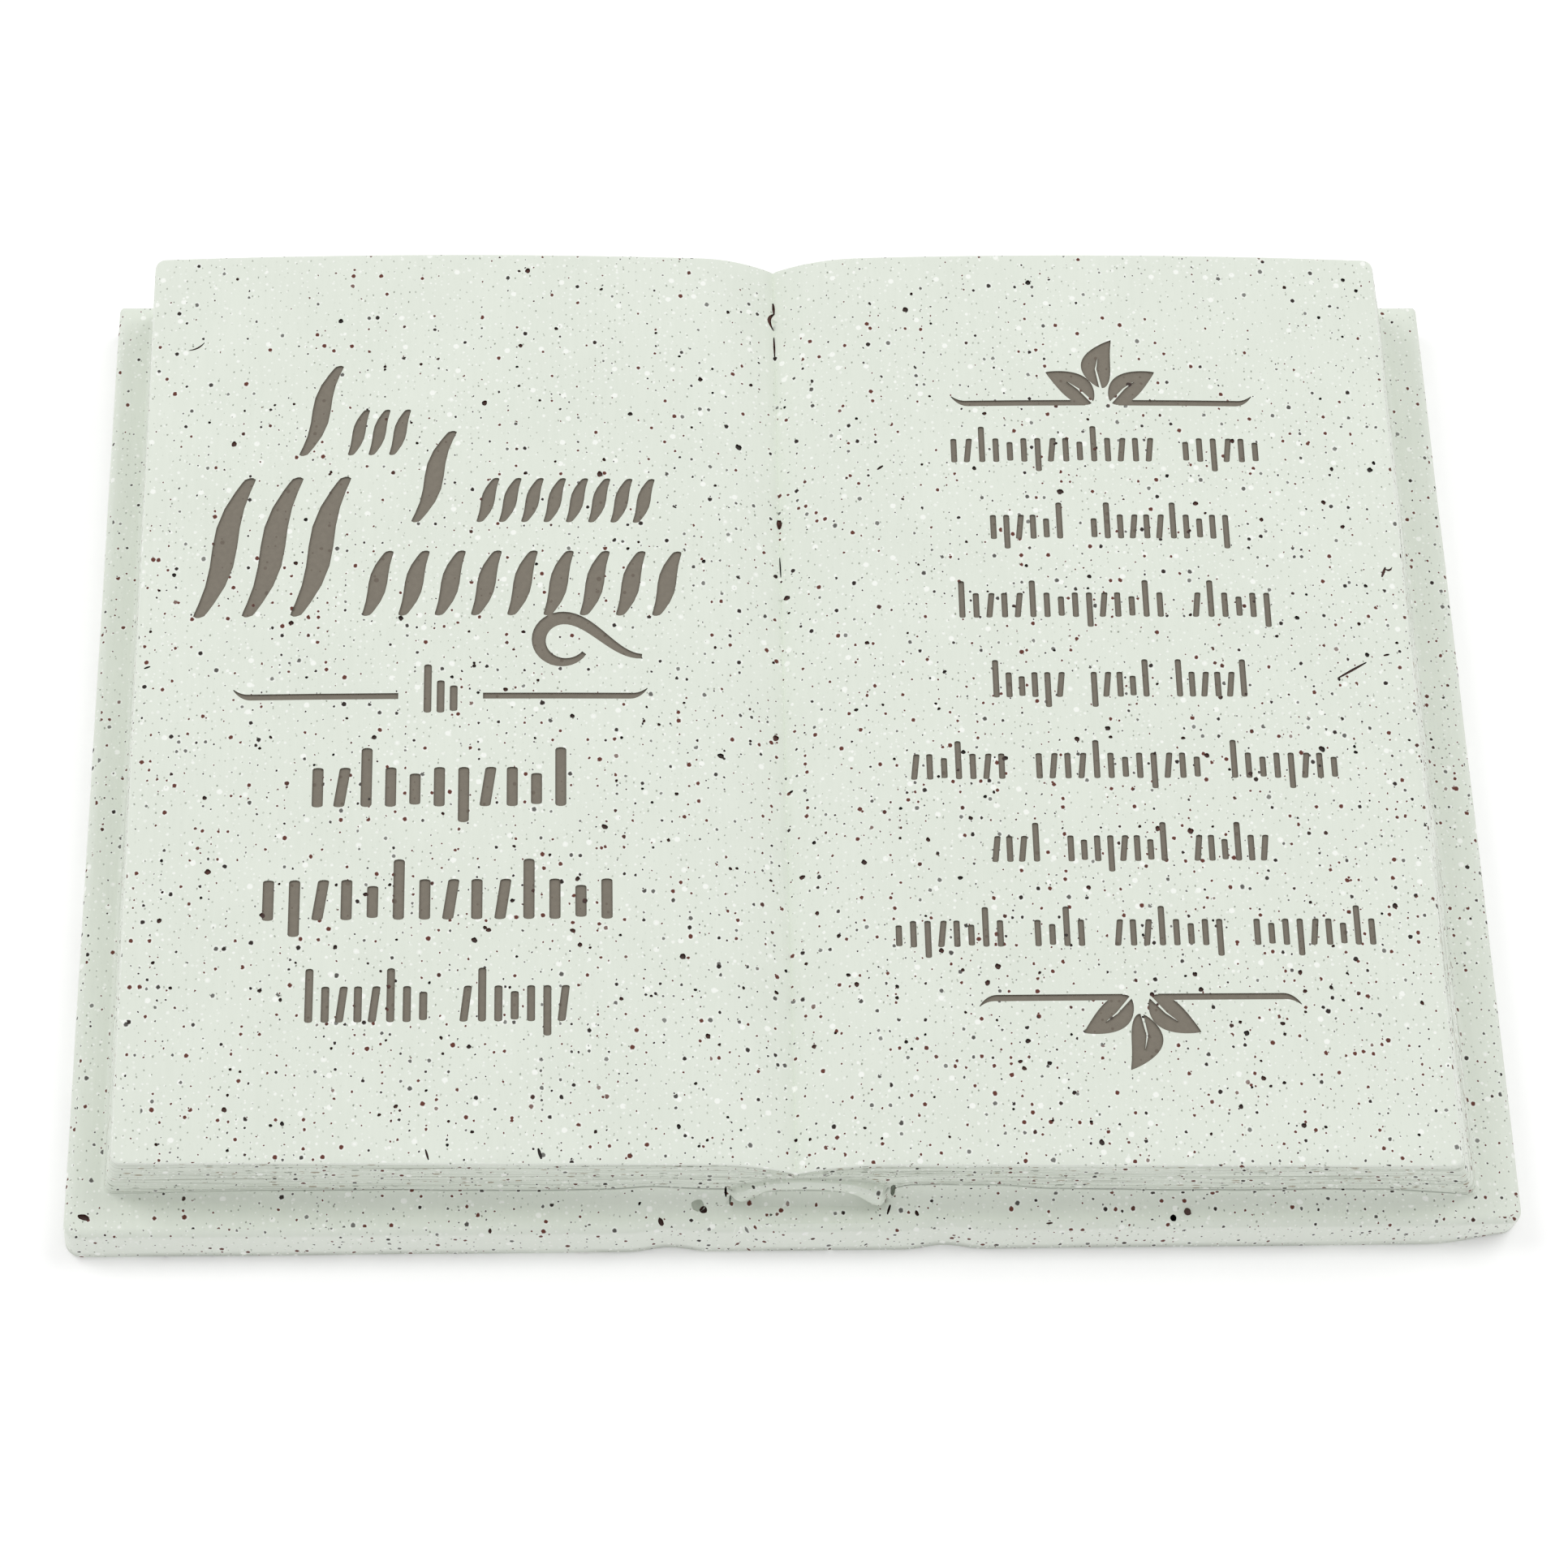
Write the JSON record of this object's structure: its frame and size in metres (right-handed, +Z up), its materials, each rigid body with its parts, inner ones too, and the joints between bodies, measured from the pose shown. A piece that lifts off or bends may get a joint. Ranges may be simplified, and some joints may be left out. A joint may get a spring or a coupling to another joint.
{
  "type": "open book memorial",
  "caption": "Small cast memorial plaque shaped as an open book on its cover slab, with engraved fields on both pages; it lies flat on a grave, shelf or ledge.",
  "frame": {"origin": "on the ground under the middle of the cover slab, which is the middle of the flat underside", "axes": "+X to the reader's right along the book's width, +Y from the reader to the head of the pages, +Z up"},
  "size_m": [0.18, 0.138, 0.0218],
  "materials": {
    "cast_stone": "matt pale green-white cast stone with dark, brown and white specks; engraving filled in warm grey-brown"
  },
  "bodies": {
    "root": {"open_book": "cast_stone"}
  },
  "joints": []
}
